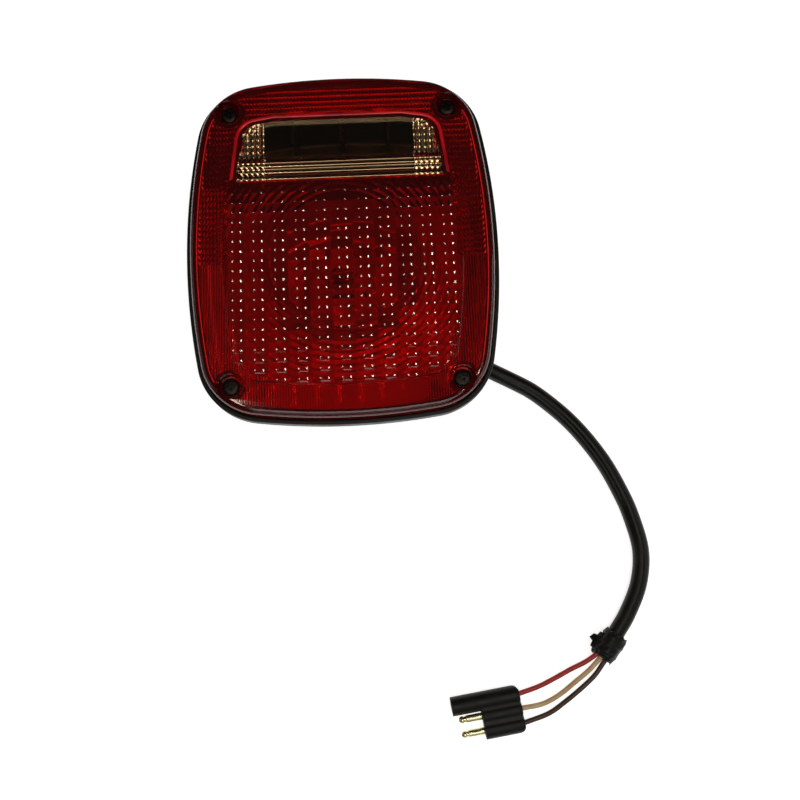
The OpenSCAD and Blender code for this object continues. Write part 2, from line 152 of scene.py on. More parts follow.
def merge(name, pieces):
    """Several separate solids as one object."""
    verts, faces = [], []
    for piece in pieces:
        base = len(verts)
        verts += [piece.matrix_world @ v.co for v in piece.data.vertices]
        faces += [tuple(base + i for i in p.vertices) for p in piece.data.polygons]
        bpy.data.objects.remove(piece)
    return make(name, verts, faces)


def moved(obj, matrix):
    obj.data.transform(matrix)
    return obj


def loft(name, rings, caps=True, closed=False):
    """Solid through rings of equally many points, each seen anticlockwise from +Z."""
    n = len(rings[0])
    count = len(rings)
    verts = [p for ring in rings for p in ring]
    faces = []
    for k in range(count if closed else count - 1):
        a, b = k * n, (k + 1) % count * n
        faces += [(a + i, a + (i + 1) % n, b + (i + 1) % n, b + i) for i in range(n)]
    if caps and not closed:
        faces.append(tuple(reversed(range(n))))
        faces.append(tuple((count - 1) * n + i for i in range(n)))
    return make(name, verts, faces)


def prism(name, polygon, low, high):
    return loft(name, [[Vector((x, y, z)) for x, y in polygon] for z in (low, high)])


def block(name, low, high):
    (x0, y0, z0), (x1, y1, z1) = low, high
    return prism(name, [(x0, y0), (x1, y0), (x1, y1), (x0, y1)], z0, z1)


def circle(r, z, sides, centre=(0, 0)):
    return [Vector((centre[0] + r * math.cos(2 * math.pi * k / sides),
                    centre[1] + r * math.sin(2 * math.pi * k / sides), z)) for k in range(sides)]


def lathe(name, profile, sides=64, centre=(0, 0), closed=False):
    """Solid turned about Z: (radius, height) pairs from the axis back to it, or round a closed loop."""
    return loft(name, [circle(r, z, sides, centre) for r, z in profile], caps=False, closed=closed)


def field(name, xs, ys, height, base):
    """Block from base up to height(x, y) on a grid whose squares are split towards their odd corner."""
    nx, ny = len(xs), len(ys)
    verts = [(x, y, height(x, y, i, j)) for j, y in enumerate(ys) for i, x in enumerate(xs)]
    faces = []
    for j in range(ny - 1):
        for i in range(nx - 1):
            a, b, c, d = j * nx + i, j * nx + i + 1, (j + 1) * nx + i + 1, (j + 1) * nx + i
            faces += [(a, b, c), (a, c, d)] if (i + j) % 2 == 0 else [(a, b, d), (b, c, d)]
    return block_under(name, verts, faces, nx, ny, base)


def block_under(name, verts, faces, nx, ny, base):
    """Closed block below a sheet of nx by ny points, down to base."""
    low = nx * ny
    verts += [(x, y, base) for x, y, _ in verts]
    rim = (list(range(nx)) + [j * nx + nx - 1 for j in range(1, ny)]
           + [(ny - 1) * nx + i for i in range(nx - 2, -1, -1)] + [j * nx for j in range(ny - 2, 0, -1)])
    faces.append(tuple(low + k for k in reversed(rim)))
    faces += [(low + a, low + b, b, a) for a, b in zip(rim, rim[1:] + rim[:1])]
    used = sorted({k for f in faces for k in f})
    renumber = {k: n for n, k in enumerate(used)}
    return make(name, [verts[k] for k in used], [tuple(renumber[k] for k in f) for f in faces])


def cube_corners(name, low, high, pitch, top, base):
    """Block whose top is a field of cube corners: a triangular lattice at three heights in turn."""
    (x0, y0), (x1, y1) = low, high
    nx = round((y1 - y0) / pitch)
    ny = round((x1 - x0) / (pitch * math.sqrt(3) / 2))
    drop = 0.96 * pitch / math.sqrt(2)
    verts = []
    for j in range(ny + 1):
        for i in range(nx + 1):
            y = y0 + (i - j % 2 / 2) * pitch
            verts.append((x0 + j * pitch * math.sqrt(3) / 2, y, top - drop * ((-i - j // 2 - j) % 3)))
    faces = []
    row = nx + 1
    for j in range(ny):
        for i in range(nx):
            a, b, c, d = j * row + i, j * row + i + 1, (j + 1) * row + i, (j + 1) * row + i + 1
            faces += [(a, b, d), (a, d, c)] if j % 2 else [(a, b, c), (b, d, c)]
    return block_under(name, verts, faces, row, ny + 1, base)


def steps(start, stop, step):
    """Evenly spaced numbers from start to stop."""
    n = max(1, round((stop - start) / step))
    return [start + (stop - start) * i / n for i in range(n + 1)]


def smooth_line(points, step):
    """Points on the smooth curve through the given ones, about a step apart."""
    pts = [Vector(p) for p in points]
    pts = [2 * pts[0] - pts[1]] + pts + [2 * pts[-1] - pts[-2]]
    out = []
    for i in range(1, len(pts) - 2):
        p0, p1, p2, p3 = pts[i - 1:i + 3]
        for t in steps(0, 1, step / (p2 - p1).length)[:-1]:
            out.append(0.5 * (2 * p1 + (p2 - p0) * t + (2 * p0 - 5 * p1 + 4 * p2 - p3) * t * t
                              + (3 * p1 - p0 - 3 * p2 + p3) * t ** 3))
    return out + [pts[-2]]


def sweep(name, line, radius, sides=24, ref=(0, 0, 1)):
    """Closed tube along a line; radius(share of the line, angle) gives its section."""
    last = len(line) - 1
    rings = []
    for i, p in enumerate(line):
        along = (line[min(i + 1, last)] - line[max(i - 1, 0)]).normalized()
        side = Vector(ref).cross(along).normalized()
        top = along.cross(side)
        ring = []
        for k in range(sides):
            a = 2 * math.pi * k / sides
            ring.append(p + radius(i / last, a) * (math.cos(a) * side + math.sin(a) * top))
        rings.append(ring)
    return loft(name, rings)


def threaded_rod(name, radius, pitch, depth, low, high, centre, sides=32):
    """Screw thread on a rod, with both ends chamfered."""
    rings = []
    for z in steps(low, high, pitch / 6):
        cap = radius - 1.2 * depth + min(z - low, high - z)
        ring = []
        for k in range(sides):
            phase = ((z - low) / pitch - k / sides) % 1
            r = min(radius - depth * abs(2 * phase - 1), cap)
            a = 2 * math.pi * k / sides
            ring.append(Vector((centre[0] + r * math.cos(a), centre[1] + r * math.sin(a), z)))
        rings.append(ring)
    return loft(name, rings)


def polished(node, edge=0.15 * MM):
    """A CAD node's shape as a new mesh, with its flat faces whole and its edges broken."""
    data = NODES[node].data
    obj = make(node + "_skin", [v.co for v in data.vertices], [tuple(p.vertices) for p in data.polygons])
    clean(obj, flat_angle=1)
    step = obj.modifiers.new("edge", "BEVEL")
    step.width = edge
    step.segments = 2
    step.limit_method = "ANGLE"
    step.angle_limit = math.radians(35)
    return bake_modifiers(obj)


# ---------------------------------------------------------------- materials

def nodes_of(name):
    mat = bpy.data.materials.new(name)
    mat.use_nodes = True
    return mat, mat.node_tree.nodes, mat.node_tree.links, mat.node_tree.nodes["Principled BSDF"]


def noise(nodes, links, scale, detail=3.0, stretch=(1, 1, 1)):
    """Noise in the object's own metres; stretch multiplies its frequency along each axis."""
    place = nodes.new("ShaderNodeTexCoord")
    mapping = nodes.new("ShaderNodeMapping")
    mapping.inputs["Scale"].default_value = stretch
    texture = nodes.new("ShaderNodeTexNoise")
    texture.inputs["Scale"].default_value = scale
    texture.inputs["Detail"].default_value = detail
    links.new(place.outputs["Object"], mapping.inputs["Vector"])
    links.new(mapping.outputs["Vector"], texture.inputs["Vector"])
    return texture.outputs["Fac"]


def blend_colours(nodes, links, share, first, second, edges=(0.35, 0.65)):
    ramp = nodes.new("ShaderNodeValToRGB")
    ramp.color_ramp.elements[0].position = edges[0]
    ramp.color_ramp.elements[1].position = edges[1]
    ramp.color_ramp.elements[0].color = (*first, 1)
    ramp.color_ramp.elements[1].color = (*second, 1)
    links.new(share, ramp.inputs["Fac"])
    return ramp.outputs["Color"]


def ranged(nodes, links, share, low, high):
    span = nodes.new("ShaderNodeMapRange")
    span.inputs["From Min"].default_value = 0.3
    span.inputs["From Max"].default_value = 0.7
    span.inputs["To Min"].default_value = low
    span.inputs["To Max"].default_value = high
    links.new(share, span.inputs["Value"])
    return span.outputs["Result"]


def add_bump(nodes, links, shader, height, strength, distance):
    bump = nodes.new("ShaderNodeBump")
    bump.inputs["Strength"].default_value = strength
    bump.inputs["Distance"].default_value = distance
    links.new(height, bump.inputs["Height"])
    links.new(bump.outputs["Normal"], shader.inputs["Normal"])


def solid(name, dark, light, roughness, metallic=0.0, patch=90, grain=2500, bump=0.15,
          stretch=(1, 1, 1), specular=0.5):
    """Opaque material: two colours in patches, a roughness range and a fine grain."""
    mat, nodes, links, shader = nodes_of(name)
    patches = noise(nodes, links, patch, 5, stretch)
    links.new(blend_colours(nodes, links, patches, dark, light), shader.inputs["Base Color"])
    links.new(ranged(nodes, links, patches, *roughness), shader.inputs["Roughness"])
    shader.inputs["Metallic"].default_value = metallic
    shader.inputs["Specular IOR Level"].default_value = specular
    add_bump(nodes, links, shader, noise(nodes, links, grain, 2, stretch), bump, 0.05 * MM)
    return mat


def clear(name, dark, light, shade, roughness, ior, haze=0.0):
    """See-through plastic or glass that lets the lamps' light through to what is behind it."""
    mat, nodes, links, shader = nodes_of(name)
    patches = noise(nodes, links, 60, 3)
    links.new(blend_colours(nodes, links, patches, dark, light), shader.inputs["Base Color"])
    links.new(ranged(nodes, links, patches, *roughness), shader.inputs["Roughness"])
    shader.inputs["Transmission Weight"].default_value = 1 - haze
    shader.inputs["IOR"].default_value = ior
    path = nodes.new("ShaderNodeLightPath")
    pass_on = nodes.new("ShaderNodeBsdfTransparent")
    pass_on.inputs["Color"].default_value = (*shade, 1)
    either = nodes.new("ShaderNodeMixShader")
    links.new(path.outputs["Is Shadow Ray"], either.inputs["Fac"])
    links.new(shader.outputs["BSDF"], either.inputs[1])
    links.new(pass_on.outputs["BSDF"], either.inputs[2])
    links.new(either.outputs["Shader"], nodes["Material Output"].inputs["Surface"])
    return mat


MATERIALS = {
    "housing_black": solid("housing_black", (0.003, 0.0034, 0.0024), (0.006, 0.007, 0.005), (0.34, 0.5),
                           grain=1800, bump=0.25, specular=0.2),
    "lens_red": clear("lens_red", (0.50, 0.008, 0.006), (0.56, 0.010, 0.008), (0.72, 0.06, 0.05),
                      (0.05, 0.09), 1.49, haze=0.04),
    # Frame line: opaque red whose bright patches are painted glow, standing in for light shining through the
    # lens's red ridge
    "lens_red_painted_glow": solid("lens_red_painted_glow", (0.30, 0.002, 0.006), (0.75, 0.004, 0.012), (0.12, 0.2),
                             patch=45),
    "window_clear": clear("window_clear", (0.88, 0.56, 0.25), (0.94, 0.64, 0.32), (0.95, 0.85, 0.7),
                          (0.04, 0.07), 1.49),
    "gasket_foam": solid("gasket_foam", (0.010, 0.010, 0.010), (0.03, 0.03, 0.03), (0.85, 0.98),
                         patch=500, grain=3500, bump=0.8, specular=0.2),
    "stud_zinc": solid("stud_zinc", (0.42, 0.43, 0.45), (0.62, 0.63, 0.66), (0.25, 0.42), 1.0,
                       patch=250, grain=4000, bump=0.2),
    "reflector_metal": solid("reflector_metal", (0.48, 0.49, 0.50), (0.58, 0.59, 0.61), (0.32, 0.44), 1.0,
                             patch=120, grain=900, bump=0.12),
    "bracket_steel": solid("bracket_steel", (0.44, 0.38, 0.22), (0.66, 0.58, 0.36), (0.28, 0.45), 1.0,
                           patch=200, grain=3000, stretch=(1, 4, 1)),
    "brass": solid("brass", (0.55, 0.38, 0.14), (0.78, 0.58, 0.26), (0.2, 0.38), 1.0, patch=250,
                   grain=3000),
    "spring_steel": solid("spring_steel", (0.34, 0.35, 0.37), (0.5, 0.51, 0.53), (0.22, 0.35), 1.0,
                          patch=400, grain=5000),
    "phenolic": solid("phenolic", (0.09, 0.035, 0.015), (0.17, 0.075, 0.035), (0.5, 0.7), patch=500,
                      grain=4000, bump=0.4),
    "bulb_glass": clear("bulb_glass", (0.93, 0.95, 0.96), (0.97, 0.98, 0.99), (0.97, 0.98, 0.99),
                        (0.0, 0.02), 1.5),
    "bulb_insulator": solid("bulb_insulator", (0.008, 0.008, 0.014), (0.02, 0.02, 0.03), (0.08, 0.2),
                            patch=300),
    "solder": solid("solder", (0.42, 0.42, 0.41), (0.62, 0.62, 0.6), (0.35, 0.55), 1.0, patch=600,
                    grain=2500, bump=0.5),
    "filament_wire": solid("filament_wire", (0.2, 0.2, 0.21), (0.34, 0.34, 0.36), (0.4, 0.5), 1.0,
                           patch=2000, grain=9000),
    "screw_dark": solid("screw_dark", (0.008, 0.006, 0.005), (0.022, 0.016, 0.014), (0.3, 0.45), 0.8,
                        patch=500, grain=3500),
    "rubber_black": solid("rubber_black", (0.003, 0.0034, 0.0024), (0.006, 0.0066, 0.005), (0.36, 0.52),
                          patch=200, grain=2600, bump=0.3, specular=0.2),
    "sheath_black": solid("sheath_black", (0.003, 0.0034, 0.002), (0.007, 0.0076, 0.005), (0.3, 0.44),
                          patch=120, grain=1500, bump=0.2, stretch=(1, 1, 1), specular=0.2),
    "tape_black": solid("tape_black", (0.0025, 0.0025, 0.002), (0.007, 0.007, 0.006), (0.32, 0.5),
                        patch=300, grain=2000, bump=0.4, specular=0.2),
    "insulation_red": solid("insulation_red", (0.36, 0.014, 0.010), (0.46, 0.024, 0.016), (0.3, 0.42),
                            patch=300),
    "insulation_white": solid("insulation_white", (0.55, 0.36, 0.17), (0.70, 0.52, 0.28), (0.35, 0.5),
                              patch=160),
    "insulation_brown": solid("insulation_brown", (0.035, 0.012, 0.006), (0.06, 0.024, 0.012),
                              (0.32, 0.45), patch=300),
    "pin_brass": solid("pin_brass", (0.66, 0.60, 0.34), (0.82, 0.77, 0.52), (0.16, 0.3), 1.0, patch=400,
                       grain=3500),
}


def finish(obj, name, body, slot, angle=30, material=None):
    """Finish a piece: it rides on a body and takes a slot's material."""
    obj.name = name
    obj.data.materials.clear()
    obj.data.materials.append(MATERIALS[material or slot])
    for face in obj.data.polygons:
        face.use_smooth = True
    obj.data.set_sharp_from_angle(angle=math.radians(angle))
    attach(obj, body)
    return obj


def present(obj, node, body, slot, angle=30):
    """Finish a piece that stands for a CAD node."""
    finish(obj, node + "_skin", body, slot, angle)
    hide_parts(node)
    return obj


# ---------------------------------------------------------------- the lamp's outline

house_low, house_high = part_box("housing")
lens_low, lens_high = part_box("lens")
gasket_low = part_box("lens_gasket")[0]
LAMP_W = house_high.x - house_low.x
LAMP_H = house_high.y - house_low.y
SIDE_BOW_R = 320 * MM
END_BOW_R = 300 * MM
CORNER_R = 31 * MM
BOW_STEPS = 10
CORNER_STEPS = 22


def circles_meet(a, ra, b, rb):
    """Where two circles meet, on the side of +x and +y."""
    d = (b - a).length
    u = (b - a) / d
    k = (d * d + ra * ra - rb * rb) / (2 * d)
    return a + k * u + math.sqrt(ra * ra - k * k) * Vector((-u.y, u.x))


side_c = Vector((LAMP_W / 2 - SIDE_BOW_R, 0))
end_c = Vector((0, LAMP_H / 2 - END_BOW_R))
corner_c = circles_meet(side_c, SIDE_BOW_R - CORNER_R, end_c, END_BOW_R - CORNER_R)
side_angle = math.atan2(corner_c.y, corner_c.x - side_c.x)
end_angle = math.atan2(corner_c.x, corner_c.y - end_c.y)


def arc(centre, r, start, stop, count):
    return [Vector((centre[0] + r * math.cos(a), centre[1] + r * math.sin(a)))
            for a in (start + (stop - start) * i / count for i in range(count + 1))]


def outline(inset):
    """The lamp's outline drawn in by an inset, anticlockwise: a bow, a corner, and so on round."""
    right = arc(side_c, SIDE_BOW_R - inset, -side_angle, side_angle, 2 * BOW_STEPS)[1:-1]
    corner = arc(corner_c, CORNER_R - inset, side_angle, math.pi / 2 - end_angle, CORNER_STEPS)
    top = arc(end_c, END_BOW_R - inset, math.pi / 2 - end_angle, math.pi / 2 + end_angle,
              2 * BOW_STEPS)[1:-1]
    half = right + corner + top + [Vector((-p.x, p.y)) for p in reversed(corner)]
    return half + [-p for p in half]


def ring(inset, z):
    return [Vector((p.x, p.y, z)) for p in outline(inset)]


def shell(name, sections, closed=False):
    """Solid through outlines, each at (inset, height) in millimetres."""
    return loft(name, [ring(i * MM, z * MM) for i, z in sections], closed=closed)


def rounded(start, corner, end, count=5):
    """(inset, height) pairs round an edge from start to end, bending at corner."""
    out = []
    for i in range(count + 1):
        t = i / count
        out.append(tuple((1 - t) ** 2 * a + 2 * t * (1 - t) * c + t * t * b
                         for a, c, b in zip(start, corner, end)))
    return out


# Heights in millimetres
SEAT_Z = 22
FLOOR_Z = 25
FLANGE_Z = round(gasket_low.z / MM, 3)
LIP_Z = round(house_high.z / MM, 3)
LENS_Z = round(lens_low.z / MM, 3)
PANEL_Z = round(lens_high.z / MM, 3)
FLAT_Z = PANEL_Z - 0.4
BORDER_Z = PANEL_Z - 1.2
SCREW_X, SCREW_Y = 52.4, 66.8
BULB_Y = -8
EXIT_ANGLE = math.radians(-30)
POCKET_R = 5.6
AT_BULB = Matrix.Translation((0, BULB_Y * MM, 0)) @ Matrix.Rotation(EXIT_ANGLE, 4, "Z")


def at_screws():
    return [(sx * SCREW_X * MM, sy * SCREW_Y * MM) for sx in (-1, 1) for sy in (-1, 1)]


def drum(name, r, low, high, centre=(0, 0), sides=48):
    """Plain round cutter or filler, in millimetres apart from its centre."""
    return prism(name, [(p.x, p.y) for p in circle(r * MM, 0, sides, centre)], low * MM, high * MM)


# ---------------------------------------------------------------- housing, gasket, studs

def housing():
    tub = shell("tub", [(15, SEAT_Z)] + rounded((13.6, SEAT_Z), (10.4, SEAT_Z + 0.2), (9.5, 25.8), 8)
                + [(5, 62)] + rounded((1, 61.5), (0, 61.5), (0, 62.4), 4)
                + rounded((0, LIP_Z - 0.8), (0, LIP_Z), (0.8, LIP_Z), 5)
                + rounded((1.5, LIP_Z), (2, LIP_Z), (2, LIP_Z - 0.5), 4)
                + [(2, FLANGE_Z)] + rounded((7.1, FLANGE_Z), (7.5, FLANGE_Z), (7.6, FLANGE_Z - 0.5), 4)
                + rounded((12, FLOOR_Z + 3), (12.4, FLOOR_Z), (14, FLOOR_Z), 5))
    walls = block("divider", (-70 * MM, 30 * MM, 24 * MM), (70 * MM, 32 * MM, FLANGE_Z * MM))
    for x in (-24, 0, 24):
        join(walls, block("gusset", ((x - 0.8) * MM, 62 * MM, 24 * MM), ((x + 0.8) * MM, 83 * MM, 48 * MM)))
    within(walls, shell("tub_inside", [(11, 24), (6, 64.6)]))
    join(tub, walls)
    for centre in at_screws():
        boss = lathe("boss", [(0, 46 * MM), (3.9 * MM, 46 * MM), (4.4 * MM, 46.5 * MM),
                              (4.4 * MM, 65.6 * MM), (4.1 * MM, 66 * MM), (0, 66 * MM)], 40, centre)
        join(tub, boss)
        carve(tub, drum("screw_hole", 2.1, 47, 70, centre))
    well = lathe("well", [(0, 2.5 * MM), (15.8 * MM, 2.5 * MM), (16.7 * MM, 2.8 * MM), (17 * MM, 3.7 * MM),
                          (17 * MM, 20.8 * MM), (17.6 * MM, 22.2 * MM), (17.6 * MM, 23 * MM),
                          (0, 23 * MM)], 80)
    join(tub, moved(well, AT_BULB))
    carve(tub, moved(drum("well_inside", 15, 4.5, 30, sides=80), AT_BULB))
    bore = moved(drum("gland_hole", 5.6, 11, 21), Matrix.Translation((0, 0, 9.5 * MM))
                 @ Matrix.Rotation(math.pi / 2, 4, "Y"))
    carve(tub, moved(bore, AT_BULB))
    for s in (-1, 1):
        for r, low, high in ((1.6, 21, 30), (3.5, 21, 23.4)):
            hole = drum("rivet_hole", r, low, high, (0, s * 22 * MM))
            carve(tub, moved(hole, AT_BULB))
    return tub


present(housing(), "housing", "lamp_base", "housing_black")

gasket = shell("gasket", rounded((2.3, FLANGE_Z), (2.3, 66), (2.8, 66), 4)
               + rounded((4.5, 66), (5, 66), (5, FLANGE_Z), 4), closed=True)
present(gasket, "lens_gasket", "lamp_base", "gasket_foam")


def studs():
    pieces = []
    for degrees in (30, 150, 270):
        a = math.radians(degrees)
        centre = (44.45 * MM * math.cos(a), 44.45 * MM * math.sin(a))
        pieces.append(threaded_rod("stud", 3.175 * MM, 1.27 * MM, 0.7 * MM, 0, 21.6 * MM, centre))
        pieces.append(lathe("neck", [(0, 21.4 * MM), (3.2 * MM, 21.4 * MM), (3.67 * MM, 22 * MM),
                                     (3.67 * MM, 25 * MM), (6.4 * MM, 25 * MM), (6.5 * MM, 25.3 * MM),
                                     (6.2 * MM, 26.3 * MM), (4.6 * MM, 26.9 * MM), (0, 27 * MM)],
                            40, centre))
    return merge("studs", pieces)


present(studs(), "mounting_studs", "lamp_base", "stud_zinc", 40)


# ---------------------------------------------------------------- reflector, socket and bulb

PLATE_END_Y = 29.6
RIVET_OFF = 22


def reflector():
    """Plate with a raised ring round its bowl, cut off straight at the window's side."""
    plate = shell("plate", [(10.4, 50), (10.4, 51)])
    carve(plate, block("window_side", (-80 * MM, PLATE_END_Y * MM, 40 * MM), (80 * MM, 90 * MM, 60 * MM)))
    dish = lathe("dish", [(0, 50 * MM), (45.4 * MM, 50 * MM), (46 * MM, 50.4 * MM), (45.8 * MM, 51.8 * MM),
                          (45.2 * MM, 52 * MM), (0, 52 * MM)], 128)
    carve(dish, block("window_side", (-80 * MM, 37.5 * MM, 40 * MM), (80 * MM, 90 * MM, 60 * MM)))
    join(plate, moved(dish, AT_BULB))
    carve(plate, block("window_side", (-80 * MM, PLATE_END_Y * MM, 40 * MM), (80 * MM, 90 * MM, 60 * MM)))
    for centre in at_screws():
        carve(plate, drum("boss_gap", 4.9, 45, 60, centre))
    carve(plate, moved(drum("dish_hole", 38.2, 40, 60, sides=128), AT_BULB))
    outside = ([(10.2, 25.8), (26, 25.8)] + rounded((26.5, 25.8), (28.2, 25.8), (28.7, 27.6), 5)
               + rounded((31.6, 34), (32, 35), (33, 35.1), 4) + [(35.2, 40), (37.2, 45), (38.4, 48.4),
                                                                 (39, 50.6)])
    inside = ([(38.2, 51.6), (37.4, 48.5), (36.2, 45), (34.2, 40.2)]
              + rounded((32.3, 36), (31.4, 36), (31, 35), 4)
              + rounded((27.8, 28.4), (27.3, 26.8), (25.8, 26.8), 5) + [(10.2, 26.8)])
    bowl = lathe("bowl", [(r * MM, z * MM) for r, z in outside + inside], 128, closed=True)
    for s in (-1, 1):
        carve(bowl, drum("rivet_gap", 1.65, 24, 30, (0, s * RIVET_OFF * MM)))
    join(plate, moved(bowl, AT_BULB))
    return plate


present(reflector(), "reflector", "lamp_base", "reflector_metal", 28)
present(polished("socket_bracket", 0.12 * MM), "socket_bracket", "lamp_base", "bracket_steel")
present(polished("bracket_rivets", 0.25 * MM), "bracket_rivets", "lamp_base", "stud_zinc")
present(polished("socket_shell", 0.1 * MM), "socket_shell", "lamp_base", "brass")
present(polished("contact_carrier", 0.2 * MM), "contact_carrier", "contacts", "phenolic")
present(polished("contact_buttons", 0.35 * MM), "contact_buttons", "contacts", "brass")


def helix(radius, low, high, turns, per_turn=20, axis="Z"):
    count = round(turns * per_turn)
    out = []
    for i in range(count + 1):
        a = 2 * math.pi * i / per_turn
        along = low + (high - low) * i / count
        x, y = radius * math.cos(a), radius * math.sin(a)
        out.append(Vector((x, y, along)) if axis == "Z" else Vector((x, along, y)))
    return out


spring_line = helix(6.5 * MM, 9.6 * MM, 14.1 * MM, 3)
spring = moved(sweep("spring", spring_line, lambda t, a: 0.4 * MM, 10), AT_BULB)
present(spring, "contact_spring", "lamp_base", "spring_steel")
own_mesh(spring)


def lead(side):
    y = side * 3
    points = [(0, y, 14.5), (0, y, 12.2), (0, y, 10.2), (1.3, y, 7.4), (4.5, y, 6.2), (9, y, 7.2),
              (12.8, y, 9.5)]
    line = smooth_line([Vector(p) * MM for p in points], 0.6 * MM)
    return moved(sweep("lead", line, lambda t, a: 1.25 * MM, 12, (0, 1, 0)), AT_BULB)


for node, slot, side in (("lead_red", "insulation_red", 1), ("lead_brown", "insulation_brown", -1)):
    present(lead(side), node, "lamp_base", slot)
    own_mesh(bpy.data.objects[node + "_skin"])
earth_points = [(-11, 0, 18), (-11, 0, 14), (-11, 0, 10.5), (-9.8, 0, 7.4), (-6.5, 0, 6.2), (-1, 0, 6.2),
                (4.5, 0, 6.2), (9, 0, 7.2), (12.8, 0, 9.5)]
earth_line = smooth_line([Vector(p) * MM for p in earth_points], 0.6 * MM)
present(moved(sweep("lead", earth_line, lambda t, a: 1.25 * MM, 12, (0, 1, 0)), AT_BULB),
        "lead_white", "lamp_base", "insulation_white")


# Heights in millimetres along the bulb's own axis
BULB_Z = 17
GLOBE_R = 13.25
GLOBE_MID = BULB_Z + 50.8 - GLOBE_R


def globe_profile(skin):
    """Neck, shoulder and globe, drawn in by the glass's thickness."""
    r = GLOBE_R - skin
    neck = 6.9 - skin
    start = math.radians(-38)
    shoulder = rounded((neck, 38), (neck, 43.2), (r * math.cos(start), GLOBE_MID + r * math.sin(start)), 8)
    turn = [(r * math.cos(start + (math.pi / 2 - start) * i / 20),
             GLOBE_MID + r * math.sin(start + (math.pi / 2 - start) * i / 20)) for i in range(1, 21)]
    return [(neck, 33.5), (neck, 36)] + shoulder + turn


def bulb_glass():
    outer = globe_profile(0)
    inner = list(reversed(globe_profile(0.8)))
    profile = [(r * MM, z * MM) for r, z in outer + inner]
    return moved(lathe("globe", profile, 72, closed=True), AT_BULB)


present(bulb_glass(), "bulb_glass", "bulb", "bulb_glass", 50)


def bulb_base():
    profile = [(6.0, 18.9), (6.6, 18.4), (7.2, 18.6), (7.5, 19.3), (7.5, 26), (7.35, 26.3), (7.35, 26.9),
               (7.5, 27.2), (7.5, 35.6), (7.3, 36.6), (7.0, 36.6), (7.1, 35.4), (7.1, 19.9), (6.0, 19.9)]
    return moved(lathe("base", [(r * MM, z * MM) for r, z in profile], 72, closed=True), AT_BULB)


present(bulb_base(), "bulb_base", "bulb", "brass")
present(polished("bulb_pins", 0.3 * MM), "bulb_pins", "bulb", "brass")
insulator = lathe("insulator", [(0, 17.6 * MM), (5.2 * MM, 17.6 * MM), (5.9 * MM, 18.1 * MM),
                                (6 * MM, 18.9 * MM), (6 * MM, 20.2 * MM), (0, 20.2 * MM)], 64)
present(moved(insulator, AT_BULB), "bulb_insulator", "bulb", "bulb_insulator")
contacts = [lathe("contact", [(0, 17 * MM), (0.6 * MM, 17.03 * MM), (1.1 * MM, 17.2 * MM),
                              (1.4 * MM, 17.6 * MM), (0, 17.6 * MM)], 32, (0, s * 3 * MM)) for s in (-1, 1)]
present(moved(merge("contacts", contacts), AT_BULB), "bulb_contacts", "bulb", "solder")
present(polished("bulb_stem", 0.5 * MM), "bulb_stem", "bulb", "bulb_glass")


def supports():
    pieces = []
    for x in (-2, 2):
        for y in (-2.6, 2.6):
            hook = [(x, y, 42.5), (x, y, 45), (x, y * 1.04, 47.4), (x, y * 1.05, 48.3), (x, y, 48.7)]
            line = smooth_line([Vector(p) * MM for p in hook], 0.5 * MM)
            pieces.append(sweep("support", line, lambda t, a: 0.28 * MM, 8, (0, 1, 0)))
    return moved(merge("supports", pieces), AT_BULB)


def filaments():
    pieces = []
    for x in (-2, 2):
        coil = helix(0.42 * MM, -2.9 * MM, 2.9 * MM, 13, 10, "Y")
        wire = sweep("coil", coil, lambda t, a: 0.08 * MM, 6, (0, 1, 0))
        pieces.append(moved(wire, Matrix.Translation((x * MM, 0, 48.8 * MM))))
    return moved(merge("filaments", pieces), AT_BULB)


present(supports(), "filament_supports", "bulb", "filament_wire")
present(filaments(), "filaments", "bulb", "filament_wire")


# ---------------------------------------------------------------- lens and window

PILLOW_W, PILLOW_H = 10 * MM, 4.8 * MM
PILLOW_TOP = 29 * MM
REFLEX_PITCH = 0.95 * MM
RIB_PITCH = 1.2 * MM
RIBS_BELOW = -9 * MM
ROOF_INSET, ROOF_Z = 6.4, 71.2
RIB_DEPTH = 0.4
RING_OUTER_R, RING_INNER_R, RING_STEP, RING_Z = 82, 30, 3, 72.4
SCREW_SEAT_Z = 69.05
WINDOW_HALF, WINDOW_LOW, WINDOW_TOP = 48.8, 30.6, 61.9


def pillow_height(x, y, i, j):
    dx = min(abs(x - PILLOW_W * k) for k in range(-7, 8))
    rows = round((PILLOW_TOP - y) / PILLOW_H - 0.5)
    dy = abs(y - (PILLOW_TOP - (rows + 0.5) * PILLOW_H))
    return PANEL_Z * MM - dx * dx / (2 * 12.5 * MM) - dy * dy / (2 * 10 * MM)


def pillow_blanket():
    xs = steps(-65 * MM, 65 * MM, PILLOW_W / 8)
    ys = steps(PILLOW_TOP - 22 * PILLOW_H, PILLOW_TOP, PILLOW_H / 6)
    return field("pillows", xs, ys, pillow_height, 72.8 * MM)


def inside_panel(name, inset, reach, low, high):
    """Prism of the raised panel, kept clear of the screws."""
    body = shell(name, [(inset, low), (inset, high)])
    for centre in at_screws():
        carve(body, drum("screw_gap", reach, low - 1, high + 1, centre, 64))
    return body


def pillow_zone():
    """The part of the panel that carries the pillows, below the window."""
    zone = inside_panel("zone", 17.9, POCKET_R + 4.8, 72.8, 77)
    return carve(zone, block("above", (-90 * MM, PILLOW_TOP, 70 * MM), (90 * MM, 90 * MM, 80 * MM)))


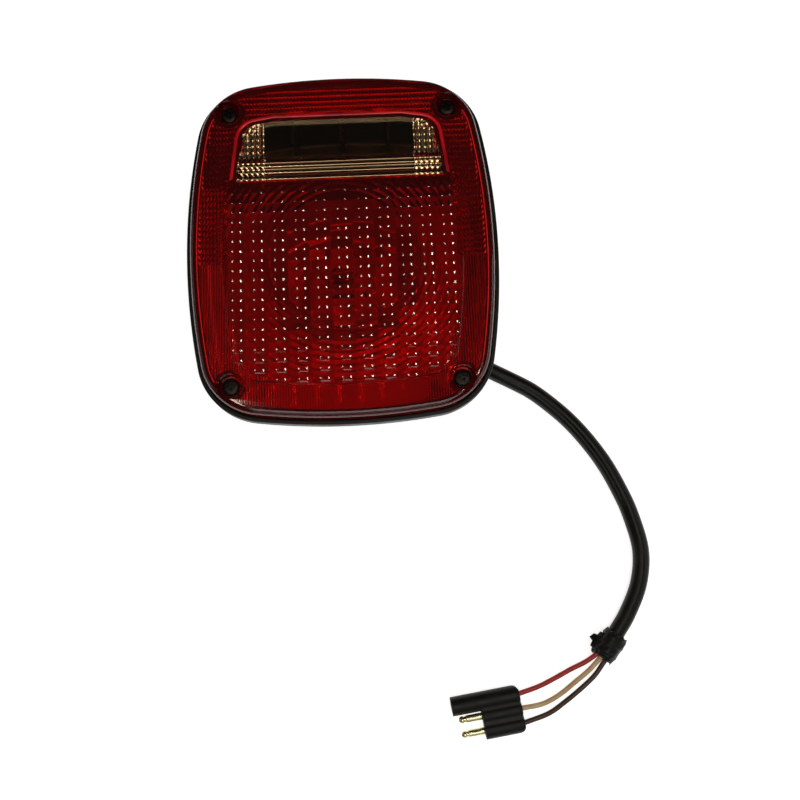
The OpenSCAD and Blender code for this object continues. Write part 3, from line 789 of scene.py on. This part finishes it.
def window_outline(gap=0.0):
    """Straight bottom, sloped sides and a bowed top with round corners, anticlockwise."""
    half, low, top = WINDOW_HALF * MM, WINDOW_LOW * MM, WINDOW_TOP * MM
    corner = (half - 11.2 * MM, top - 11.1 * MM)
    r = 8.3 * MM - gap
    bow_c = top - END_BOW_R
    bow = [Vector((x, bow_c + math.sqrt((END_BOW_R - gap) ** 2 - x * x)))
           for x in steps(30 * MM, -30 * MM, 4 * MM)]
    points = [Vector((-half + gap, low + gap)), Vector((half - gap, low + gap))]
    points += arc(corner, r, math.radians(7), math.radians(75), 12)
    points += bow
    points += arc((-corner[0], corner[1]), r, math.radians(105), math.radians(173), 12)
    return points


def rib_height(x, y, i, j):
    return (ROOF_Z - (RIB_DEPTH if i % 2 else 0)) * MM


def lens_inside():
    """What is hollow inside the lens: a shallow tray whose roof carries the optics."""
    tray = shell("tray", [(5.2, 64), (5.2, 69.6), (5.7, 70.1)])
    roof = shell("roof", [(ROOF_INSET, 64), (ROOF_INSET, ROOF_Z)])
    prisms = cube_corners("prisms", (-75 * MM, RIBS_BELOW), (75 * MM, 88 * MM), REFLEX_PITCH,
                          71.5 * MM, 60 * MM)
    ribs = field("ribs", steps(-73.8 * MM, 73.8 * MM, RIB_PITCH / 2),
                 [-88 * MM, -60 * MM, RIBS_BELOW], rib_height, 60 * MM)
    join(prisms, ribs)
    join(tray, within(roof, prisms))
    rings = [(0, 60 * MM), (RING_OUTER_R * MM, 60 * MM), (RING_OUTER_R * MM, RING_Z * MM)]
    r = RING_OUTER_R
    while r > RING_INNER_R + 1:
        rings += [((r - 1.1) * MM, 71.95 * MM), ((r - 2.2) * MM, 72.32 * MM),
                  ((r - RING_STEP) * MM, RING_Z * MM)]
        r -= RING_STEP
    rings += [(RING_INNER_R * MM, RING_Z * MM), (0, RING_Z * MM)]
    optic = moved(lathe("ring_optic", rings, 144), Matrix.Translation((0, BULB_Y * MM, 0)))
    roof = inside_panel("roof", 19.8, POCKET_R + 6.8, 70, 73)
    within(roof, optic)
    join(tray, roof)
    for centre in at_screws():
        carve(tray, drum("screw_pillar", POCKET_R + 1.8, 60, 80, centre, 64))
    return tray


def window_frame(section):
    """Rib along the window's sides and top, as (distance outside the window, height) in millimetres."""
    rib_ring = loft("frame", [[Vector((p.x, p.y, z * MM)) for p in window_outline(gap * MM)]
                              for gap, z in section], closed=True)
    return carve(rib_ring, block("below", (-90 * MM, 0, 70 * MM), (90 * MM, 31.5 * MM, 80 * MM)))


def lens():
    body = shell("lens", [(2.9, LENS_Z), (2.5, LENS_Z + 0.4), (2.4, LENS_Z + 1)]
                 + rounded((2.4, 70.8), (2.4, BORDER_Z), (5.4, BORDER_Z), 8))
    panel = shell("panel", [(17, 72), (17, FLAT_Z - 0.7), (17.5, FLAT_Z)])
    for centre in at_screws():
        carve(panel, drum("screw_gap", POCKET_R + 4, 71, 80, centre, 64))
    pillows = within(pillow_blanket(), pillow_zone())
    carve(panel, pillow_zone())
    join(panel, pillows)
    join(body, panel)
    carve(body, lens_inside())
    for centre in at_screws():
        pocket = lathe("pocket", [(0, SCREW_SEAT_Z * MM), (5.2 * MM, SCREW_SEAT_Z * MM),
                                  (POCKET_R * MM, 69.5 * MM), (POCKET_R * MM, 73.4 * MM),
                                  ((POCKET_R + 0.7) * MM, 74.2 * MM),
                                  ((POCKET_R + 0.7) * MM, 80 * MM), (0, 80 * MM)], 64, centre)
        carve(body, pocket)
        carve(body, drum("screw_hole", 2.3, 60, 80, centre))
    carve(body, prism("window_hole", window_outline(), 60 * MM, 80 * MM))
    return drop_thin_walls(body)


present(lens(), "lens", "lens_cap", "lens_red", 16)

# The frame line's bright red is painted glow: an opaque material stands in for light passing through the
# ridge of red plastic
frame_line = window_frame([(-3.3, 74.6), (-3.2, 74.95), (-2.8, 75.18), (-2.2, 75.18), (-1.8, 74.95),
                           (-1.7, 74.6)])
finish(frame_line, "window_frame_line", "lens_cap", "lens_red", 40, "lens_red_painted_glow")

FLUTES_TOP = 43.3
FLUTES_IN = 35
FLUTE_ROW = 3.175
FLUTE_COLUMN = 2.5


def rib(value, start, pitch, depth, crest=0.5):
    """Fall of a rib's surface below its crest, with straight flanks and a soft crest."""
    t = ((value - start) % pitch) / pitch - crest
    d = t / (1 - crest) if t > 0 else -t / crest
    return depth * (math.sqrt(d * d + 0.03) - 0.17)


def window_height(x, y, i, j):
    """The window's inner face, upside down: beaded prisms along its bottom and up both sides."""
    x, y = abs(x) / MM, y / MM
    low, side = y < FLUTES_TOP - 0.01, x > FLUTES_IN + 0.01
    fall = 0.9
    if low:
        fall = (rib(y, WINDOW_LOW, FLUTE_ROW, 1.3, 0.78)
                + rib(x, FLUTES_IN, FLUTE_COLUMN, 0.6 if side else 0.07))
    elif side:
        fall = rib(y, WINDOW_LOW, FLUTE_ROW, 0.3) + rib(x, FLUTES_IN, FLUTE_COLUMN, 1.35)
    return (1.9 - fall) * MM


def window():
    xs = steps(-52.5 * MM, -FLUTES_IN * MM, FLUTE_COLUMN / 6 * MM)
    xs += steps(-FLUTES_IN * MM, FLUTES_IN * MM, FLUTE_COLUMN / 6 * MM)[1:-1] + [-x for x in reversed(xs)]
    ys = steps(WINDOW_LOW * MM, 68.7 * MM, FLUTE_ROW / 8 * MM)
    body = field("window", xs, ys, window_height, -2.4 * MM)
    for vertex in body.data.vertices:
        vertex.co.z = 72.4 * MM - vertex.co.z
    clean(body)
    within(body, prism("window_edge", window_outline(0.04 * MM), 60 * MM, 80 * MM))
    return body


present(window(), "clear_window", "lens_cap", "window_clear", 25)


# ---------------------------------------------------------------- lens screws

def screw(centre):
    head = lathe("head", [(0, SCREW_SEAT_Z * MM), (3.8 * MM, SCREW_SEAT_Z * MM), (4 * MM, 69.3 * MM),
                          (4 * MM, 70.1 * MM), (3.75 * MM, 70.8 * MM), (3.1 * MM, 71.2 * MM),
                          (2 * MM, 71.32 * MM), (0, 71.35 * MM)], 56, centre)
    for turn in (0.3, 0.3 + math.pi / 2):
        slot_cut = prism("slot", [(-2.2 * MM, -0.5 * MM), (2.2 * MM, -0.5 * MM), (2.2 * MM, 0.5 * MM),
                                  (-2.2 * MM, 0.5 * MM)], 70 * MM, 73 * MM)
        moved(slot_cut, Matrix.Translation((*centre, 0)) @ Matrix.Rotation(turn, 4, "Z"))
        carve(head, slot_cut)
    carve(head, lathe("recess", [(0, 69.9 * MM), (0.6 * MM, 70 * MM), (1.35 * MM, 71.4 * MM),
                                 (1.35 * MM, 73 * MM), (0, 73 * MM)], 24, centre))
    shank = threaded_rod("shank", 2 * MM, 0.9 * MM, 0.45 * MM, 47.2 * MM, 69.2 * MM, centre, 24)
    return merge("screw", [head, shank])


for number, centre in enumerate(((-1, 1), (1, 1), (-1, -1), (1, -1)), 1):
    centre = (centre[0] * SCREW_X * MM, centre[1] * SCREW_Y * MM)
    present(screw(centre), f"lens_screw_{number}", f"screw_{number}", "screw_dark", 35)


# ---------------------------------------------------------------- the free lead

def in_metres(route):
    return [Vector(p) * MM for p in route]


SHEATH_ROUTE = in_metres([
    (11.26, -14.5, 9.5), (21, -20.12, 9.5), (31, -25.9, 9.5), (43, -32.8, 8.2), (56, -40, 5.6),
    (65, -44.6, 4.8), (74, -49.5, 4.5), (84, -55, 4.5), (94, -61, 4.5), (103.8, -69.2, 4.5),
    (113, -78.5, 4.5), (121.6, -89.6, 4.5), (129, -101.5, 4.5), (134.8, -114, 4.5),
    (139.5, -127, 4.5), (143, -145, 4.5), (140.5, -161.5, 4.5), (133.5, -176, 4.5),
    (126.5, -186, 4.5),
])
TAPE_ROUTE = in_metres([(126.5, -186, 6.4), (122.5, -191, 6.4), (118, -196.5, 6.4)])
WIRE_ROUTES = {
    "red": [(116.4, -194.7, 6.2), (110.5, -198.5, 5), (103, -201.9, 3.8), (95, -205.8, 3.2),
            (86.3, -209.4, 3.9), (75.7, -212.4, 4.6)],
    "white": [(118, -196.5, 6.2), (112, -202.5, 4.8), (104.5, -208.2, 3.6), (96.5, -213.8, 3.2),
              (87.8, -217.6, 3.9), (76.6, -219.2, 4.6)],
    "brown": [(119.8, -198.2, 6.2), (114.5, -205.1, 4.8), (107.5, -211.2, 3.6), (99, -217.3, 3.2),
              (90.3, -222.3, 3.9), (77.6, -226.1, 4.6)],
}
SHEATH_R = 4.4 * MM
WIRE_R = 1.25 * MM
GLAND_Z = 9.5
WAY_PITCH = 6.9
AT_PLUG = Matrix.Translation((77.5 * MM, -219.1 * MM, 4.6 * MM)) @ Matrix.Rotation(math.radians(8), 4, "Z")


def grommet():
    ridges = []
    for x in (21.5, 24.5, 27.5, 30.5, 33.5):
        r = 6.15 - (x - 19.3) * 0.055
        ridges += [(r, x - 0.9), (r, x + 0.5), (r - 0.45, x + 0.8), (r - 0.45, x + 1.8)]
    outer = ([(5.5, 13.6), (5.5, 17.2), (6.6, 17.3), (6.8, 17.6), (6.8, 19), (6.6, 19.3), (6.2, 19.4)]
             + ridges + [(5.0, 35.7), (4.75, 36)])
    profile = [(r * MM, x * MM) for r, x in outer] + [(4.4 * MM, 36 * MM), (4.4 * MM, 13.6 * MM)]
    piece = lathe("grommet", profile, 56, closed=True)
    at_gland = AT_BULB @ Matrix.Translation((0, 0, GLAND_Z * MM))
    return moved(piece, at_gland @ Matrix.Rotation(math.pi / 2, 4, "Y"))


present(grommet(), "cable_grommet", "lamp_base", "rubber_black")


def sheath_section(t, a):
    """A soft sleeve round three wires: slightly flat, with a crease along the middle of its run."""
    flat = 0.975 + 0.02 * math.cos(2 * (a - 0.6 - 1.5 * t))
    crease = math.exp(-((a - math.radians(100 + 25 * t)) / 0.16) ** 2)
    run = max(0.0, math.sin(math.pi * min(1, max(0, (t - 0.32) / 0.5)))) ** 0.5
    return SHEATH_R * (flat - 0.11 * crease * run + 0.004 * math.sin(47 * t) * math.sin(3 * a + 9 * t))


def tape():
    """Vinyl tape wound round the end of the sheath, with ragged edges and a lifted corner."""
    line = smooth_line(TAPE_ROUTE, 0.35 * MM)
    last = len(line) - 1
    along = (line[-1] - line[0]).normalized()
    side = Vector((0, 0, 1)).cross(along).normalized()
    top = along.cross(side)
    rings = []
    for i, p in enumerate(line):
        t = i / last
        ends = min(1, 6 * t, 5 * (1 - t))
        ring_points = []
        for k in range(72):
            a = 2 * math.pi * k / 72
            turn = (2.6 * t - a / (2 * math.pi)) % 1
            r = 5.15 + 0.95 * math.sqrt(ends) + 0.34 * turn + 0.14 * math.sin(3 * a + 5 * t)
            r += 0.10 * math.sin(9 * a - 14 * t) * math.sin(5 * t + a)
            tatter = 0.5 * math.sin(2 * a + 1) + 0.35 * math.sin(7 * a) + 0.2 * math.sin(13 * a)
            ragged = (1 - 2 * t) * tatter
            q = p + MM * (ragged * -along + r * (math.cos(a) * side + math.sin(a) * top))
            ring_points.append(Vector((q.x, q.y, max(q.z, 0.08 * MM))))
        rings.append(ring_points)
    inner = [(121.6, -185.6), (121, -186.8), (120.4, -187.8), (119.8, -188.6), (119, -189.6), (118.2, -190.6),
             (117.6, -192.2)]
    outer = [(118.6, -184.2), (116.8, -185.7), (115.2, -184.9), (112.9, -186.5), (114.1, -188.4),
             (112.8, -190.6), (114.5, -192.6)]
    upper, lower = [], []
    for n, (a, b) in enumerate(zip(inner, outer)):
        for k in range(6):
            u = k / 5
            z = 10.4 - 1.3 * u - 1.6 * u * u + 0.25 * math.sin(2.1 * n + 4 * u)
            upper.append(Vector((a[0] + (b[0] - a[0]) * u, a[1] + (b[1] - a[1]) * u, z)) * MM)
            lower.append(upper[-1] - Vector((0, 0, 0.35 * MM)))
    count = len(upper)
    faces = []
    for n in range(len(inner) - 1):
        for k in range(5):
            q = (n * 6 + k, n * 6 + k + 1, n * 6 + k + 7, n * 6 + k + 6)
            faces += [q, tuple(count + v for v in reversed(q))]
    rim = ([k for k in range(6)] + [n * 6 + 5 for n in range(1, len(inner))]
           + [count - 6 + k for k in range(4, -1, -1)] + [n * 6 for n in range(len(inner) - 2, 0, -1)])
    faces += [(a, b, count + b, count + a) for a, b in zip(rim, rim[1:] + rim[:1])]
    return merge("tape", [loft("wrap", rings), make("flap", upper + lower, faces)])


def connector_body():
    """Moulded body: three joined lobes, one carried on as the shroud, rounded as soft rubber is."""
    lobe, pitch, length, shroud = 4.3, WAY_PITCH, 20, 4.6
    to_x = Matrix.Rotation(math.pi / 2, 4, "Y")

    def rod(r, start, stop, y, soft=0.0):
        profile = [(0, start), (r, start)] + rounded((r, stop - soft), (r, stop), (r - soft, stop), 4)
        turned = lathe("rod", [(a * MM, b * MM) for a, b in profile + [(0, stop)]], 64)
        return moved(turned, Matrix.Translation((0, y * MM, 0)) @ to_x)

    body = block("slab", (-length * MM, -pitch * MM, -3.6 * MM), (-0.8 * MM, pitch * MM, 3.6 * MM))
    for y in (-pitch, 0):
        join(body, rod(lobe, -length, 0, y, 1.4))
    join(body, rod(shroud, -34, 0, pitch, 1.4))
    low, high, r = -pitch - lobe, pitch + shroud, 3.5
    plan = [(-40, low), (-r, low)]
    plan += [(-r + r * math.sin(a), low + r - r * math.cos(a)) for a in steps(0.1, math.pi / 2, 0.2)]
    plan += [(-r + r * math.cos(a), high - r + r * math.sin(a)) for a in steps(0, math.pi / 2, 0.2)]
    plan += [(-40, high)]
    within(body, prism("plan", [(x * MM, y * MM) for x, y in plan], -6 * MM, 6 * MM))
    fine = body.modifiers.new("fine", "REMESH")
    fine.mode = "VOXEL"
    fine.voxel_size = 0.3 * MM
    soft = body.modifiers.new("soft", "SMOOTH")
    soft.factor = 0.5
    soft.iterations = 6
    bake_modifiers(body)
    carve(body, rod(2.7, -36, -6, pitch))
    for y in (-pitch, 0):
        carve(body, rod(1.5, -22, -8, y))
    return body


def bullet(y):
    """Bullet pin that stands out of the body, with a groove behind its round tip."""
    profile = [(0, 8), (1.5, 8), (1.5, 19.7), (1.7, 19.8), (1.75, 20), (1.75, 27.8), (1.65, 28.05),
               (1.4, 28.15), (1.35, 28.9), (1.45, 29.2), (1.7, 29.4), (1.75, 29.7), (1.65, 30.4),
               (1.3, 31.1), (0.9, 31.5), (0, 31.6)]
    turned = lathe("pin", [(r * MM, z * MM) for r, z in profile], 40)
    return moved(turned, Matrix.Translation((0, y * MM, 0)) @ Matrix.Rotation(-math.pi / 2, 4, "Y"))


def sleeve():
    """Brass tube inside the shroud, which takes the mating pin."""
    profile = [(0, 6), (2.7, 6), (2.7, 29.7), (2.5, 30), (2.1, 30), (1.85, 29.7), (1.85, 8), (0, 8)]
    turned = lathe("sleeve", [(r * MM, z * MM) for r, z in profile], 40)
    return moved(turned, Matrix.Translation((0, WAY_PITCH * MM, 0)) @ Matrix.Rotation(-math.pi / 2, 4, "Y"))


tape_piece = present(tape(), "tape_wrap", "lamp_base", "tape_black", 40)
plug = present(moved(connector_body(), AT_PLUG), "connector_body", "lamp_base", "rubber_black", 40)
pins = present(moved(merge("pins", [bullet(-WAY_PITCH), bullet(0)]), AT_PLUG), "connector_pins", "lamp_base",
               "pin_brass")
present(moved(sleeve(), AT_PLUG), "connector_sleeve", "lamp_base", "pin_brass")

sheath_line = smooth_line(SHEATH_ROUTE, 2 * MM)
sheath = present(sweep("sheath", sheath_line, sheath_section, 40), "cable_sheath", "lamp_base",
                 "sheath_black")
for colour, length in (("red", 0.045), ("white", 0.049), ("brown", 0.0519)):
    line = smooth_line(in_metres(WIRE_ROUTES[colour]), 1.5 * MM)
    wire = sweep("wire", line, lambda t, a: WIRE_R * (1 + 0.012 * math.sin(40 * t + 2 * a)), 18)
    present(wire, "wire_" + colour, "lamp_base", "insulation_" + colour)


# ---------------------------------------------------------------- floor and lights

floor = make("floor", [(-4, -4, 0), (4, -4, 0), (4, 4, 0), (-4, 4, 0)], [(0, 1, 2, 3)])
paper = solid("floor_paper", (0.86, 0.86, 0.86), (0.9, 0.9, 0.9), (0.75, 0.9), patch=2, grain=300,
              bump=0.03, specular=0.2)
glow = paper.node_tree.nodes["Principled BSDF"]
glow.inputs["Emission Color"].default_value = (1, 1, 1, 1)
glow.inputs["Emission Strength"].default_value = 0.78
floor.data.materials.append(paper)


def area_light(name, eye, target, size, power, colour=(1, 1, 1)):
    data = bpy.data.lights.new(name, "AREA")
    data.shape = "RECTANGLE"
    data.size, data.size_y = size
    data.energy = power
    data.color = colour
    light = bpy.data.objects.new(name, data)
    light.matrix_world = look(eye, Vector(target) - Vector(eye), (0, 1, 0.01))
    scene.collection.objects.link(light)


LAMP_MIDDLE = Vector((0, 0, 0.07))
WARM = (1, 0.84, 0.68)
area_light("lamp_right", (0.29, 0.015, 1.02), LAMP_MIDDLE, (0.075, 0.13), 1.1, WARM)
area_light("lamp_left", (-0.27, 0.015, 1.02), LAMP_MIDDLE, (0.06, 0.11), 0.42, WARM)
area_light("soft_camera", (0.06, -0.52, 1.3), LAMP_MIDDLE, (0.9, 0.66), 4.4)
area_light("soft_front", (0.05, -1.9, 1.3), (0, 0, 0), (1.6, 0.9), 3)
area_light("soft_left", (-1.6, 0.1, 0.9), (0, 0, 0), (0.8, 1.4), 1.5)
area_light("soft_right", (1.6, -0.1, 0.9), (0, 0, 0), (0.8, 1.4), 5)

world = bpy.data.worlds.new("world")
scene.world = world
world.use_nodes = True
world.node_tree.nodes["Background"].inputs["Color"].default_value = (1, 1, 1, 1)
world.node_tree.nodes["Background"].inputs["Strength"].default_value = 0.04
scene.view_settings.view_transform = "Standard"
